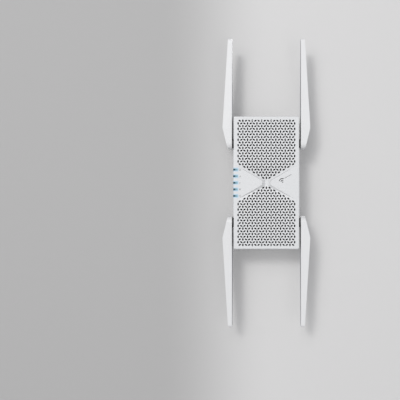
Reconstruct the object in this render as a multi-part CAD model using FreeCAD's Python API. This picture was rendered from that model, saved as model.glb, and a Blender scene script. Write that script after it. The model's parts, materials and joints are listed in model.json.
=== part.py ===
import FreeCAD, Part
import math
import os

from FreeCAD import Vector

# Wall-plug wireless range extender with four tilting blade antennas, in millimetres.
#
# Frame: +Z up, +Y into the wall, -Y out of the front grille, +X to the right of somebody facing it.
# Origin: midway between the two mains pins, on the engagement face of the plug.

# ---- driving dimensions -----------------------------------------------------------------------
BODY_WIDTH = 81.8            # over the middle of the sides
BODY_HEIGHT = 163.5
BODY_DEPTH = 42.0
PLUG_HEIGHT = 17.0           # how far the plug stands out of the rear face
PIN_RADIUS = 2.4
PIN_ROOT_RADIUS = 2.0        # inside the plug, so that each pin has a shoulder on its face
PIN_LENGTH = 19.0
PIN_SPACING = 19.0
WALL = 2.0
SIDE_WALL = 2.5
ANTENNA_TIP_Z = 178.4
HINGE_Y = -50.0              # the antennas turn well forward, and lie nearly level with the front
HINGE_Z = 49.1
SLOT_PITCH = 3.86            # between neighbouring slots of the grille
LED_PITCH = 8.1
LED_COUNT = 5

# ---- planes across the depth, front to back ---------------------------------------------------
REAR_Y = -PLUG_HEIGHT
FRONT_Y = REAR_Y - BODY_DEPTH
SPLIT_Y = (FRONT_Y + REAR_Y) / 2      # front frame and rear housing part here
GRILLE_BACK_Y = FRONT_Y + 2.4
GRILLE_EDGE_Y = FRONT_Y + 3.5         # the grille's rim meets the front frame here
INNER_REAR_Y = REAR_Y - WALL
BOARD_FRONT_Y = -48.0
BOARD_REAR_Y = BOARD_FRONT_Y + 1.6
POWER_BOARD_REAR_Y = -24.4
POWER_BOARD_FRONT_Y = POWER_BOARD_REAR_Y - 1.6

# ---- housing ----------------------------------------------------------------------------------
HALF_W = BODY_WIDTH / 2
HALF_H = BODY_HEIGHT / 2
CAVITY_X = HALF_W - SIDE_WALL
CAVITY_Z = HALF_H - WALL
CORNER_R, CAVITY_R = 2.5, 1.5
FRONT_EDGE_R = 1.5
REAR_EDGE_R = 3.0
POCKET_DEPTH = 0.8                    # the sides step in beside each antenna
POCKET_Z = 40.7                       # and the step starts at this height above the middle
SEAM_DEPTH = 0.5
SEAM_HALF = 0.15
MATE_GAP = 0.1                        # between two mouldings that face each other
BOSS_X, BOSS_Z, BOSS_R = 32.8, 73.0, 4.4
BOSS_FRONT_Y = -52.0                  # the bosses stay well behind the grille
HOUSING_SCREW = (2.6, 1.8, 1.0, 26.0)   # head radius and height, shank radius and length
SMALL_SCREW = (1.9, 1.2, 0.75, 4.5)
WEB_HALF = 0.7                        # half the thickness of the webs between bosses and walls
COUNTERBORE_R, COUNTERBORE_DEPTH = 3.0, 5.0
SCREW_HOLE_R, SCREW_PILOT_R, PILOT_DEPTH = 1.5, 1.05, 12.0
SMALL_HOLE_R, SMALL_PILOT_R = 1.1, 0.8
LUG_X, LUG_Z = 33.4, 62.5             # where the main board is screwed down
LUG_INNER_X, LUG_HALF_Z, LUG_THICKNESS = 31.0, 3.5, 4.0
POST_X, POST_Z, POST_R = 26.0, 29.0, 2.4   # where the power board is screwed down
SNAP_THICKNESS, SNAP_BACK_Y = 1.3, -52.4   # the grille's snaps, inside the front frame
SIDE_SNAP_Z, END_SNAP_X = (30.0, 38.0), (8.0, 16.0)
VENT_WIDTH = 2.2
END_VENTS, SIDE_VENTS = 9, 11
VENT_STEP, REAR_VENT_STEP = 6.0, 4.2
REAR_VENT_X = 24.0
REAR_VENT_ROWS = ((36.0, 1, 8), (-36.0, -1, 3))   # first height, which way they go on, how many
LABEL_X, LABEL_Z = 24.0, (-71.0, -51.0)
LABEL_SINK, LABEL_THICKNESS, LABEL_MARGIN, LABEL_R = 0.3, 0.2, 0.2, 1.5

# ---- grille -----------------------------------------------------------------------------------
SLOT_LENGTH = 3.6
SLOT_WIDTH = 2.0
SLOT_ROWS = 22
FULL_ROW_HALF = 9                     # slot pitches from the middle to the outermost column
APEX_ROW_Z = 6.15
WAIST_X, WAIST_Z = 4.9, 2.5           # half sizes of the narrow middle between the two wings
WING_X, WING_Z = 37.0, 21.0           # where the wings' edges run out at the sides
WAIST_SINK, WAIST_BACK_SINK = 3.2, 2.3   # how far the grille's face and its back go in at the waist
WING_SLOPE = 1.1                      # the wings' edges run out this far for each mm they go down
GROOVE_WIDTH, GROOVE_DEPTH = 0.35, 0.9   # a fine groove along each wing's edges
GROOVE_X = 29.0                       # and how far out it goes
WINDOW_X = -35.4                      # inner end of each indicator window
WINDOW_HALF_Z = 1.2
LENS_GAP = 0.04

# ---- antennas and their hinges ----------------------------------------------------------------
ANTENNA_INNER_X = 42.6
ANTENNA_WALL = 1.4
FOOT_Z = 41.7                         # the end nearer the middle
FOOT_Y = (-57.5, -34.5)               # front and rear edges from there up to the widest place
FOOT_R = (7.4, 10.0)                  # and how round the foot's front and rear corners are
FOOT_WIDTH = 5.2
WIDEST_Z, WIDEST = 67.8, 11.6
REAR_BEND_Z = 74.0
TIP_WIDTH = 4.9
TIP_Y = (-55.5, -44.5)
BEND_R, TIP_R = 40.0, 2.5             # corners of the outline seen from the side
FRONT_RADII = (0, 1.0, 9.0, 1.2, 0)   # and of the one seen from the front
TRUNNION_R = 4.0
SEAT_BORE_R = 4.08
SEAT_HALF = 6.0
SEAT_INNER_X = 35.3
COLLAR_R = 5.8
COLLAR_X = 40.5
CABLE_BORE_R = 1.8
TRUNNION_END_X = 32.6
CLIP_GROOVE_X = (33.4, 34.4)
CLIP_GROOVE_R = 3.2
CLIP_R = 5.5
WASHER_R = 5.8
COAX_DIAMETER = 1.2

# ---- side controls and network socket ---------------------------------------------------------
SWITCH_Y = -44.6
PAIRING_Z, RESET_Z, POWER_Z = 6.0, 16.0, 26.0
BUTTON_HALF_Y, BUTTON_HALF_Z = 2.0, 4.5
BUTTON_PROUD = 0.45
PINHOLE_R = 0.8
JACK_Z = -20.0
JACK_FRONT_X = 40.6
JACK_LENGTH = 20.0
JACK_HALF_Z = 8.0
JACK_HEIGHT = 13.3
PORT_HALF_Z = 5.9
PORT_Y = (-44.0, -37.2)               # the plug's body goes in between these
LATCH_HALF_Z = 3.1
LATCH_Y = -34.9                       # and its latch as far as this

X, Y, Z = Vector(1, 0, 0), Vector(0, 1, 0), Vector(0, 0, 1)
CORNERS = [(sx, sz) for sx in (-1, 1) for sz in (-1, 1)]


# ---- small tools ------------------------------------------------------------------------------
def box(x0, x1, y0, y1, z0, z1):
    return Part.makeBox(x1 - x0, y1 - y0, z1 - z0, Vector(x0, y0, z0))


def rod(radius, start, direction, length):
    return Part.makeCylinder(radius, length, Vector(*start), direction)


def rounded_wire(points, radii):
    """A closed wire through 3-D corner points, each corner rounded by its own radius."""
    corners = [Vector(*p) for p in points]
    ends = []
    for i, corner in enumerate(corners):
        before = (corners[i - 1] - corner).normalize()
        after = (corners[(i + 1) % len(corners)] - corner).normalize()
        if radii[i] == 0:
            ends.append((corner, None, corner))
            continue
        half = before.getAngle(after) / 2
        back = radii[i] / math.tan(half)
        to_centre = (before + after).normalize()
        middle = corner + to_centre * (radii[i] / math.sin(half) - radii[i])
        ends.append((corner + before * back, middle, corner + after * back))
    edges = []
    for i, (start, middle, stop) in enumerate(ends):
        if middle is not None:
            edges.append(Part.Arc(start, middle, stop).toShape())
        following = ends[(i + 1) % len(ends)][0]
        if (following - stop).Length > 1e-6:
            edges.append(Part.LineSegment(stop, following).toShape())
    return Part.Wire(edges)


def plate_xz(points, radii, y0, y1):
    """A plate whose outline is drawn as (x, z) corners, from y0 to y1."""
    wire = rounded_wire([(x, y0, z) for x, z in points], radii)
    return Part.Face(wire).extrude(Y * (y1 - y0))


def rectangle(half_x, half_z):
    return [(-half_x, -half_z), (half_x, -half_z), (half_x, half_z), (-half_x, half_z)]


def union(shapes):
    first, rest = shapes[0], shapes[1:]
    return first.fuse(rest).removeSplitter() if rest else first


def mirrored(shape, sx, sz):
    """A shape made for +X and +Z, moved to the corner whose signs are sx and sz."""
    out = shape
    if sx < 0:
        out = out.mirror(Vector(0, 0, 0), X)
    if sz < 0:
        out = out.mirror(Vector(0, 0, 0), Z)
    return out


def cable(points, diameter):
    """A round cable along straight runs joined by tangent arcs, and the radii of its bends."""
    corners = [Vector(*p) for p in points]
    edges, radii, start = [], [], corners[0]
    for i in range(1, len(corners) - 1):
        before, after = corners[i - 1] - corners[i], corners[i + 1] - corners[i]
        half = before.getAngle(after) / 2
        back = 0.45 * min(before.Length, after.Length)
        radius = back * math.tan(half)
        before.normalize()
        after.normalize()
        bisector = (before + after).normalize()
        entry, leave = corners[i] + before * back, corners[i] + after * back
        middle = corners[i] + bisector * (radius / math.sin(half) - radius)
        edges.append(Part.LineSegment(start, entry).toShape())
        edges.append(Part.Arc(entry, middle, leave).toShape())
        radii.append(radius)
        start = leave
    edges.append(Part.LineSegment(start, corners[-1]).toShape())
    path = Part.Wire(edges)
    profile = Part.Wire(Part.makeCircle(diameter / 2, corners[0], corners[1] - corners[0]))
    solid = path.makePipeShell([profile], True, True)
    expected = math.pi * diameter ** 2 / 4 * path.Length
    assert abs(solid.Volume / expected - 1) < 0.01, "cable volume"
    return solid, radii


def screw(x, z, head_y, direction, head_r, head_h, shank_r, shank_length):
    """A pan-head screw with a cross recess; its shank leaves head_y along direction, +1 or -1 in Y."""
    head = rod(head_r, (x, head_y - direction * head_h, z), Y * direction, head_h)
    outer_edge = [e for e in head.Edges
                  if abs(e.BoundBox.YMin - (head_y - direction * head_h)) < 1e-6
                  and e.BoundBox.YLength < 1e-6]
    head = head.makeFillet(head_h * 0.45, outer_edge)
    shank = rod(shank_r, (x, head_y, z), Y * direction, shank_length)
    slot_y = sorted((head_y - direction * head_h * 1.5, head_y - direction * head_h * 0.45))
    arm, width = head_r * 0.55, head_r * 0.13
    cross = union([box(x - arm, x + arm, slot_y[0], slot_y[1], z - width, z + width),
                   box(x - width, x + width, slot_y[0], slot_y[1], z - arm, z + arm)])
    return union([head, shank]).cut(cross)


def save(name, *shapes):
    solids = [s for shape in shapes for s in shape.Solids]
    for solid in solids:
        assert solid.isValid() and solid.Volume > 0, name
    whole = solids[0] if len(solids) == 1 else Part.makeCompound(solids)
    whole.exportStep("parts/%s.step" % name)
    size = whole.BoundBox
    print("%-34s %2d solids %10.1f mm3  %6.1f x %6.1f x %6.1f"
          % (name, len(solids), whole.Volume, size.XLength, size.YLength, size.ZLength))


# ---- housing ----------------------------------------------------------------------------------
def body_envelope():
    """The outside of the closed housing, with its rounded edges and the pocket beside each antenna."""
    block = plate_xz(rectangle(HALF_W, HALF_H), [CORNER_R] * 4, FRONT_Y, REAR_Y)
    front = [e for e in block.Edges if e.BoundBox.YMax < FRONT_Y + 1e-3]
    block = block.makeFillet(FRONT_EDGE_R, front)
    rear = [e for e in block.Edges if e.BoundBox.YMin > REAR_Y - 1e-3]
    block = block.makeFillet(REAR_EDGE_R, rear)
    pocket = box(HALF_W - POCKET_DEPTH, HALF_W + 5, FRONT_Y - 1, REAR_Y + 1, POCKET_Z, HALF_H + 1)
    return block.cut([mirrored(pocket, sx, sz) for sx, sz in CORNERS])


def slab(shape, y0, y1):
    return shape.common(box(-200, 200, y0, y1, -200, 200))


def cavity(y0, y1):
    return plate_xz(rectangle(CAVITY_X, CAVITY_Z), [CAVITY_R] * 4, y0, y1)


def seam(y):
    """The fine groove that runs round the outside where two mouldings meet."""
    outer = box(-HALF_W - 1, HALF_W + 1, y - SEAM_HALF, y + SEAM_HALF, -HALF_H - 1, HALF_H + 1)
    core = plate_xz(rectangle(HALF_W - SEAM_DEPTH, HALF_H - SEAM_DEPTH), [CORNER_R] * 4, y - 1, y + 1)
    pocket = box(HALF_W - POCKET_DEPTH - SEAM_DEPTH, HALF_W, y - 2, y + 2, POCKET_Z, HALF_H + 1)
    return outer.cut(core.cut([mirrored(pocket, sx, sz) for sx, sz in CORNERS]))


def slot_rows():
    """(x, z, angle) of every slot above the middle; the pattern below is its mirror image.

    The slots sit on a triangular grid, and their directions cycle through three angles 60 degrees
    apart. Counted from the waist, each row is three slots longer until it meets the side rims.
    """
    row_step = SLOT_PITCH * math.sqrt(3) / 2
    for row in range(SLOT_ROWS):
        count = 3 * (row + 1)
        for k in range(count):
            column = k - (count - 1) / 2
            if abs(column) > FULL_ROW_HALF + 0.01:
                continue
            angle = (150, 90, 30)[k % 3]
            yield column * SLOT_PITCH, APEX_ROW_Z + row * row_step, angle


def slot_cutter(x, z, angle):
    """A pointed oval, the length of a slot along its angle, right through the grille."""
    a = math.radians(angle)
    along = Vector(math.cos(a), 0, math.sin(a)) * (SLOT_LENGTH / 2)
    across = Vector(-math.sin(a), 0, math.cos(a)) * (SLOT_WIDTH / 2)
    centre = Vector(x, FRONT_Y - 1, z)
    one = Part.Arc(centre + along, centre + across, centre - along).toShape()
    other = Part.Arc(centre - along, centre - across, centre + along).toShape()
    return Part.Face(Part.Wire([one, other])).extrude(Y * 6)


def grown(points, distance):
    """A convex outline of (x, z) corners, listed anticlockwise, with every side moved outwards."""
    lines = []
    for i, (x0, z0) in enumerate(points):
        x1, z1 = points[(i + 1) % len(points)]
        length = math.hypot(x1 - x0, z1 - z0)
        nx, nz = (z1 - z0) / length, (x0 - x1) / length
        lines.append((nx, nz, nx * x0 + nz * z0 + distance))
    corners = []
    for i, (a1, b1, c1) in enumerate(lines):
        a0, b0, c0 = lines[i - 1]
        det = a0 * b1 - a1 * b0
        corners.append(((c0 * b1 - c1 * b0) / det, (a0 * c1 - a1 * c0) / det))
    return corners


def wing_outline():
    far = 60.0
    far_z = WAIST_Z + (far - WAIST_X) * (WING_Z - WAIST_Z) / (WING_X - WAIST_X)
    return [(WAIST_X, -WAIST_Z), (far, -far_z), (far, far_z), (WAIST_X, WAIST_Z)]


def wing():
    """The block under the right-hand wing, its edges sloping outwards as they go back from the front."""
    rings = []
    for y in (FRONT_Y - 1, FRONT_Y + WAIST_SINK + 1):
        rings.append([Vector(x, y, z) for x, z in grown(wing_outline(), (y - FRONT_Y) * WING_SLOPE)])
    near, away = rings
    walls = [[near[i - 1], near[i], away[i], away[i - 1]] for i in range(len(near))]
    faces = [Part.Face(Part.makePolygon(face + face[:1])) for face in [near, away] + walls]
    return Part.makeSolid(Part.makeShell(faces))


def wing_groove():
    inner, outer = wing_outline(), grown(wing_outline(), GROOVE_WIDTH)
    solids = [plate_xz(points, [0] * 4, FRONT_Y - 1, FRONT_Y + GROOVE_DEPTH) for points in (outer, inner)]
    return solids[0].cut(solids[1]).common(box(0, GROOVE_X, FRONT_Y - 1, FRONT_Y + 3, -WING_Z, WING_Z))


def both_sides(shape):
    return [shape, shape.mirror(Vector(0, 0, 0), X)]


def fold(front, back, sink):
    """A slab whose back sinks towards the middle: by sink at the waist, not at all by the wings' ends."""
    profile = [Vector(-WING_X, front, WING_Z), Vector(-WING_X, back, WING_Z),
               Vector(-WING_X, back + sink, WAIST_Z), Vector(-WING_X, back + sink, -WAIST_Z),
               Vector(-WING_X, back, -WING_Z), Vector(-WING_X, front, -WING_Z)]
    return Part.Face(Part.makePolygon(profile + profile[:1])).extrude(X * 2 * WING_X)


def led_positions():
    return [(i - (LED_COUNT - 1) / 2) * LED_PITCH for i in range(LED_COUNT)]


def front_grille(envelope):
    plate = slab(envelope, FRONT_Y - 1, GRILLE_EDGE_Y).cut(cavity(GRILLE_BACK_Y, GRILLE_EDGE_Y + 1))
    plate = plate.fuse(fold(GRILLE_BACK_Y - 0.4, GRILLE_BACK_Y, WAIST_BACK_SINK))
    plate = plate.cut(fold(FRONT_Y - 1, FRONT_Y, WAIST_SINK).cut(both_sides(wing()))).removeSplitter()
    snap_y = (GRILLE_BACK_Y - 0.2, SNAP_BACK_Y)
    side_x, end_z = CAVITY_X - MATE_GAP, CAVITY_Z - MATE_GAP
    side = box(side_x - SNAP_THICKNESS, side_x, *snap_y, *SIDE_SNAP_Z)
    end = box(*END_SNAP_X, *snap_y, end_z - SNAP_THICKNESS, end_z)
    plate = union([plate] + [mirrored(snap, sx, sz) for snap in (side, end) for sx, sz in CORNERS])
    window_y = (FRONT_Y - 1, GRILLE_EDGE_Y + 2)
    windows = [box(-HALF_W - 1, WINDOW_X, *window_y, z - WINDOW_HALF_Z, z + WINDOW_HALF_Z)
               for z in led_positions()]
    plate = plate.cut(windows + [seam(GRILLE_EDGE_Y)] + both_sides(wing_groove()))
    slots = []
    for x, z, angle in slot_rows():
        upper = slot_cutter(x, z, angle)
        slots += [upper, upper.mirror(Vector(0, 0, 0), Z)]
    print("grille slots:", len(slots))
    return plate.cut(slots)


def hinge_seat():
    """The block behind the side wall that carries an antenna's trunnion."""
    return box(SEAT_INNER_X, CAVITY_X + 0.5, GRILLE_EDGE_Y, HINGE_Y + SEAT_HALF,
               HINGE_Z - SEAT_HALF, HINGE_Z + SEAT_HALF)


def hinge_bore():
    return rod(SEAT_BORE_R, (SEAT_INNER_X - 1, HINGE_Y, HINGE_Z), X, HALF_W - SEAT_INNER_X + 2)


def jack_opening():
    return box(CAVITY_X - 1, HALF_W + 1, BOARD_REAR_Y - 0.2, BOARD_REAR_Y + JACK_HEIGHT + 0.2,
               JACK_Z - JACK_HALF_Z - 0.2, JACK_Z + JACK_HALF_Z + 0.2)


def pill(half_y, half_z, x0, x1, z):
    """A prism along X with a round-ended outline, centred on the switches' height."""
    corners = [(x0, SWITCH_Y + sy * half_y, z + sz * half_z)
               for sy, sz in ((-1, -1), (1, -1), (1, 1), (-1, 1))]
    return Part.Face(rounded_wire(corners, [min(half_y, half_z) * 0.98] * 4)).extrude(X * (x1 - x0))


def web_up(y0, y1):
    return box(BOSS_X - WEB_HALF, BOSS_X + WEB_HALF, y0, y1, BOSS_Z, CAVITY_Z + 0.5)


def web_across(y0, y1):
    return box(BOSS_X, CAVITY_X + 0.5, y0, y1, BOSS_Z - WEB_HALF, BOSS_Z + WEB_HALF)


def front_frame(envelope):
    frame = slab(envelope, GRILLE_EDGE_Y, SPLIT_Y).cut(cavity(GRILLE_EDGE_Y - 1, SPLIT_Y + 1))
    boss = rod(BOSS_R, (BOSS_X, BOSS_FRONT_Y, BOSS_Z), Y, SPLIT_Y - MATE_GAP - BOSS_FRONT_Y)
    lug = box(LUG_INNER_X, CAVITY_X + 0.5, BOARD_FRONT_Y - LUG_THICKNESS, BOARD_FRONT_Y,
              LUG_Z - LUG_HALF_Z, LUG_Z + LUG_HALF_Z)
    web_y = (BOSS_FRONT_Y, SPLIT_Y - 1)
    added = [boss, web_up(*web_y), web_across(*web_y), lug, hinge_seat()]
    pilot = rod(SCREW_PILOT_R, (BOSS_X, SPLIT_Y - PILOT_DEPTH, BOSS_Z), Y, PILOT_DEPTH + 1)
    lug_pilot = rod(SMALL_PILOT_R, (LUG_X, BOARD_FRONT_Y - LUG_THICKNESS - 1, LUG_Z), Y, LUG_THICKNESS + 2)
    removed = [pilot, lug_pilot, hinge_bore()]
    frame = union([frame] + [mirrored(shape, sx, sz) for shape in added for sx, sz in CORNERS])
    openings = [pill(BUTTON_HALF_Y + MATE_GAP, BUTTON_HALF_Z + MATE_GAP, CAVITY_X - 1, HALF_W + 1, z)
                for z in (PAIRING_Z, POWER_Z)]
    openings.append(rod(PINHOLE_R, (CAVITY_X - 1, SWITCH_Y, RESET_Z), X, 5))
    openings += [seam(GRILLE_EDGE_Y), seam(SPLIT_Y), jack_opening()]
    return frame.cut(openings + [mirrored(shape, sx, sz) for shape in removed for sx, sz in CORNERS])


def rear_housing(envelope):
    tray = slab(envelope, SPLIT_Y, REAR_Y + 1).cut(cavity(SPLIT_Y - 1, INNER_REAR_Y))
    boss = rod(BOSS_R, (BOSS_X, SPLIT_Y + MATE_GAP, BOSS_Z), Y, INNER_REAR_Y - SPLIT_Y)
    post = rod(POST_R, (POST_X, POWER_BOARD_REAR_Y, POST_Z), Y, INNER_REAR_Y - POWER_BOARD_REAR_Y + 0.5)
    added = [boss, web_up(SPLIT_Y + 2, INNER_REAR_Y + 0.5), post]
    hole = rod(SCREW_HOLE_R, (BOSS_X, SPLIT_Y - 1, BOSS_Z), Y, 30)
    counterbore = rod(COUNTERBORE_R, (BOSS_X, REAR_Y - COUNTERBORE_DEPTH, BOSS_Z), Y, COUNTERBORE_DEPTH + 3)
    post_pilot = rod(SMALL_PILOT_R, (POST_X, POWER_BOARD_REAR_Y - 1, POST_Z), Y, 5)
    removed = [hole, counterbore, post_pilot]
    tray = union([tray] + [mirrored(shape, sx, sz) for shape in added for sx, sz in CORNERS])
    openings = [seam(SPLIT_Y), jack_opening(), plug_outline(MATE_GAP, INNER_REAR_Y - 1, REAR_Y + 1)]
    openings += housing_vents() + [label_shape(0, REAR_Y - LABEL_SINK, REAR_Y + 1)]
    return tray.cut(openings + [mirrored(shape, sx, sz) for shape in removed for sx, sz in CORNERS])


def housing_vents():
    """Cooling slots: across both ends, along the left side, and above and below the plug."""
    slots = []
    half = VENT_WIDTH / 2
    wall_y = (SPLIT_Y + 4, REAR_Y - 5)
    for i in range(END_VENTS):
        x = (i - (END_VENTS - 1) / 2) * VENT_STEP
        end = box(x - half, x + half, *wall_y, CAVITY_Z - 1, HALF_H + 1)
        slots += [end, end.mirror(Vector(0, 0, 0), Z)]
    for i in range(SIDE_VENTS):
        z = (i - (SIDE_VENTS - 1) / 2) * VENT_STEP
        slots.append(box(-HALF_W - 1, -CAVITY_X + 1, *wall_y, z - half, z + half))
    for first, direction, count in REAR_VENT_ROWS:
        for i in range(count):
            z = first + direction * i * REAR_VENT_STEP
            slot = plate_xz(rectangle(REAR_VENT_X, 1), [0.95] * 4, INNER_REAR_Y - 1, REAR_Y + 1)
            slots.append(slot.translated(Z * z))
    return slots


def label_shape(inset, y0, y1):
    x, z0, z1 = LABEL_X - inset, LABEL_Z[0] + inset, LABEL_Z[1] - inset
    return plate_xz([(-x, z0), (x, z0), (x, z1), (-x, z1)], [LABEL_R - inset] * 4, y0, y1)


def rating_label():
    floor = REAR_Y - LABEL_SINK
    return label_shape(LABEL_MARGIN, floor, floor + LABEL_THICKNESS)


def housing_screws():
    one = screw(BOSS_X, BOSS_Z, REAR_Y - COUNTERBORE_DEPTH, -1, *HOUSING_SCREW)
    return [mirrored(one, sx, sz) for sx, sz in CORNERS]


# ---- plug -------------------------------------------------------------------------------------
PLUG_R = 18.4
PLUG_FLAT_Z = 16.2
FLANGE_GROW, FLANGE_THICKNESS = 2.4, 2.0
GUIDE_HALF_Z, GUIDE_DEPTH, GUIDE_START_Y = 2.6, 2.3, -12.5   # keyways at the sides
CLIP_HALF_X, CLIP_DEPTH, CLIP_START_Y = 3.2, 1.1, -14.0      # recesses of the earth clips
PLUG_RIM_R = 1.2
PIN_TIP_R, PIN_TAIL_R = 1.9, 1.2


def plug_outline(grow, y0, y1):
    """The round plug with a flat above and below for the earth clips, grow larger all round."""
    disc = rod(PLUG_R + grow, (0, y0, 0), Y, y1 - y0)
    return disc.common(box(-30, 30, y0, y1, -PLUG_FLAT_Z - grow, PLUG_FLAT_Z + grow))


def plug_body():
    barrel = plug_outline(0, INNER_REAR_Y - MATE_GAP, 0)
    rim = [e for e in barrel.Edges if e.BoundBox.YMin > -1e-3]
    barrel = barrel.makeFillet(PLUG_RIM_R, rim)
    flange_y = INNER_REAR_Y - MATE_GAP - FLANGE_THICKNESS
    flange = rod(PLUG_R + FLANGE_GROW, (0, flange_y, 0), Y, FLANGE_THICKNESS)
    cuts = []
    for s in (-1, 1):
        guide_x, clip_z = s * PLUG_R, s * PLUG_FLAT_Z
        cuts.append(box(guide_x - GUIDE_DEPTH, guide_x + GUIDE_DEPTH, GUIDE_START_Y, 1,
                        -GUIDE_HALF_Z, GUIDE_HALF_Z))
        cuts.append(box(-CLIP_HALF_X, CLIP_HALF_X, CLIP_START_Y, 1,
                        clip_z - CLIP_DEPTH, clip_z + CLIP_DEPTH))
        cuts.append(rod(PIN_ROOT_RADIUS, (s * PIN_SPACING / 2, -BODY_DEPTH, 0), Y, BODY_DEPTH + 1))
    return union([barrel, flange]).cut(cuts)


def plug_pins():
    pins = []
    root_y = INNER_REAR_Y - MATE_GAP - FLANGE_THICKNESS
    tail_y = POWER_BOARD_FRONT_Y - 0.8
    for s in (-1, 1):
        x = s * PIN_SPACING / 2
        pin = rod(PIN_RADIUS, (x, 0, 0), Y, PIN_LENGTH)
        tip = [e for e in pin.Edges if e.BoundBox.YMin > PIN_LENGTH - 1e-3]
        root = rod(PIN_ROOT_RADIUS, (x, root_y, 0), Y, 1 - root_y)
        tail = rod(PIN_TAIL_R, (x, tail_y, 0), Y, root_y + 1 - tail_y)
        pins.append(union([pin.makeFillet(PIN_TIP_R, tip), root, tail]))
    return pins


# ---- indicators -------------------------------------------------------------------------------
COMB_X, COMB_Y = -38.0, (-52.4, -50.9)   # a bar joins the light guide's stems
STEM_END_Y = BOARD_FRONT_Y - 0.9
LED_X, LED_HEIGHT, LED_HALF_Z = (-37.0, -35.4), 0.7, 0.4


def light_guide(envelope):
    """One clear comb: a lens in each window, and stems that stand over the lamps on the board."""
    inner_x, half = WINDOW_X - LENS_GAP, WINDOW_HALF_Z - LENS_GAP
    bar_z = led_positions()[0] - half, led_positions()[-1] + half
    prongs = [box(COMB_X, inner_x, *COMB_Y, *bar_z)]
    for z in led_positions():
        lens = box(-HALF_W - 1, inner_x, FRONT_Y - 1, GRILLE_EDGE_Y - 0.1, z - half, z + half)
        prongs.append(lens.common(envelope))
        prongs.append(box(COMB_X, inner_x, GRILLE_EDGE_Y - 0.5, STEM_END_Y, z - half, z + half))
    return union(prongs)


def status_leds():
    return [box(*LED_X, BOARD_FRONT_Y - LED_HEIGHT, BOARD_FRONT_Y, z - LED_HALF_Z, z + LED_HALF_Z)
            for z in led_positions()]


# ---- main board -------------------------------------------------------------------------------
BOARD_HALF_Z, BOARD_NARROW_X = 68.0, 36.0
BOARD_MIDDLE_X, BOARD_MIDDLE_Z = (-37.2, 36.6), 42.0
NOTCH_X, NOTCH_Z = 31.2, (42.4, 58.6)   # room for the hinges
CAN_SIZES = [(0, 4, 15, 15), (0, 38, 19, 14), (0, -38, 19, 14)]   # centre x, z and half sizes
CAN_HEIGHT, CAN_WALL = 2.2, 0.3
PAD_SHARE = 0.7                         # of a shield's length and width
FRONT_CHIPS = [(-27, 20, 3.5, 5), (27, 12, 3, 3), (-27, -14, 4, 3), (25, 20, 2.5, 2.5), (24, -20, 2.5, 2.5)]
REAR_CHIPS = [(10, -20, 4, 8), (-12, 18, 5, 5), (-14, -18, 4, 4), (0, 56, 5, 5), (0, -56, 4, 6)]
FRONT_CHIP_HEIGHT, REAR_CHIP_HEIGHT = 1.1, 1.6
SINK_HALF_X, SINK_HALF_Z = 26.0, 60.0
SINK_BASE_Y = (-53.4, -51.9)
SINK_LEG, SINK_LEG_R = (22.0, 56.0), 2.4
FIN_COUNT, FIN_STEP, FIN_HALF, FIN_HEIGHT = 9, 6.0, 0.6, 2.4
FIN_START_Z = 26.0
INSULATOR_X, INSULATOR_HALF_Z, INSULATOR_THICKNESS = (-24.0, 19.0), 34.0, 0.3


def main_board():
    faces = (BOARD_FRONT_Y, BOARD_REAR_Y)
    board = union([box(-BOARD_NARROW_X, BOARD_NARROW_X, *faces, -BOARD_HALF_Z, BOARD_HALF_Z),
                   box(*BOARD_MIDDLE_X, *faces, -BOARD_MIDDLE_Z, BOARD_MIDDLE_Z)])
    holes = []
    for sx, sz in CORNERS:
        notch = box(NOTCH_X, HALF_W, BOARD_FRONT_Y - 1, BOARD_REAR_Y + 1, *NOTCH_Z)
        holes.append(mirrored(notch, sx, sz))
        for x, z in ((LUG_X, LUG_Z), SINK_LEG):
            holes.append(mirrored(rod(SMALL_HOLE_R, (x, BOARD_FRONT_Y - 1, z), Y, 4), sx, sz))
    return board.cut(holes)


def shield_cans():
    cans = []
    for x, z, half_x, half_z in CAN_SIZES:
        y0 = BOARD_FRONT_Y - CAN_HEIGHT
        shell = box(x - half_x, x + half_x, y0, BOARD_FRONT_Y, z - half_z, z + half_z)
        room_x, room_z = half_x - CAN_WALL, half_z - CAN_WALL
        inside = box(x - room_x, x + room_x, y0 + CAN_WALL, BOARD_FRONT_Y + 1, z - room_z, z + room_z)
        cans.append(shell.cut(inside))
    return cans


def thermal_pads():
    pads = []
    for x, z, can_x, can_z in CAN_SIZES:
        half_x, half_z = can_x * PAD_SHARE, can_z * PAD_SHARE
        pads.append(box(x - half_x, x + half_x, SINK_BASE_Y[1], BOARD_FRONT_Y - CAN_HEIGHT,
                        z - half_z, z + half_z))
    return pads


def board_chips():
    """What stands on the board outside the shields: magnetics, memory, regulators."""
    front_y = (BOARD_FRONT_Y - FRONT_CHIP_HEIGHT, BOARD_FRONT_Y)
    rear_y = (BOARD_REAR_Y, BOARD_REAR_Y + REAR_CHIP_HEIGHT)
    chips = [box(x - a, x + a, *front_y, z - b, z + b) for x, z, a, b in FRONT_CHIPS]
    return chips + [box(x - a, x + a, *rear_y, z - b, z + b) for x, z, a, b in REAR_CHIPS]


def heat_sink():
    front, back = SINK_BASE_Y
    base = box(-SINK_HALF_X, SINK_HALF_X, front, back, -SINK_HALF_Z, SINK_HALF_Z)
    added, removed = [], []
    for i in range(FIN_COUNT):
        x = (i - (FIN_COUNT - 1) / 2) * FIN_STEP
        fin = box(x - FIN_HALF, x + FIN_HALF, front - FIN_HEIGHT, front, FIN_START_Z, SINK_HALF_Z)
        added += [fin, fin.mirror(Vector(0, 0, 0), Z)]
    leg_x, leg_z = SINK_LEG
    for sx, sz in CORNERS:
        added.append(mirrored(rod(SINK_LEG_R, (leg_x, back, leg_z), Y, BOARD_FRONT_Y - back), sx, sz))
        removed.append(mirrored(rod(SMALL_PILOT_R, (leg_x, back - 0.5, leg_z), Y, 5), sx, sz))
    return union([base] + added).cut(removed)


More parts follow.
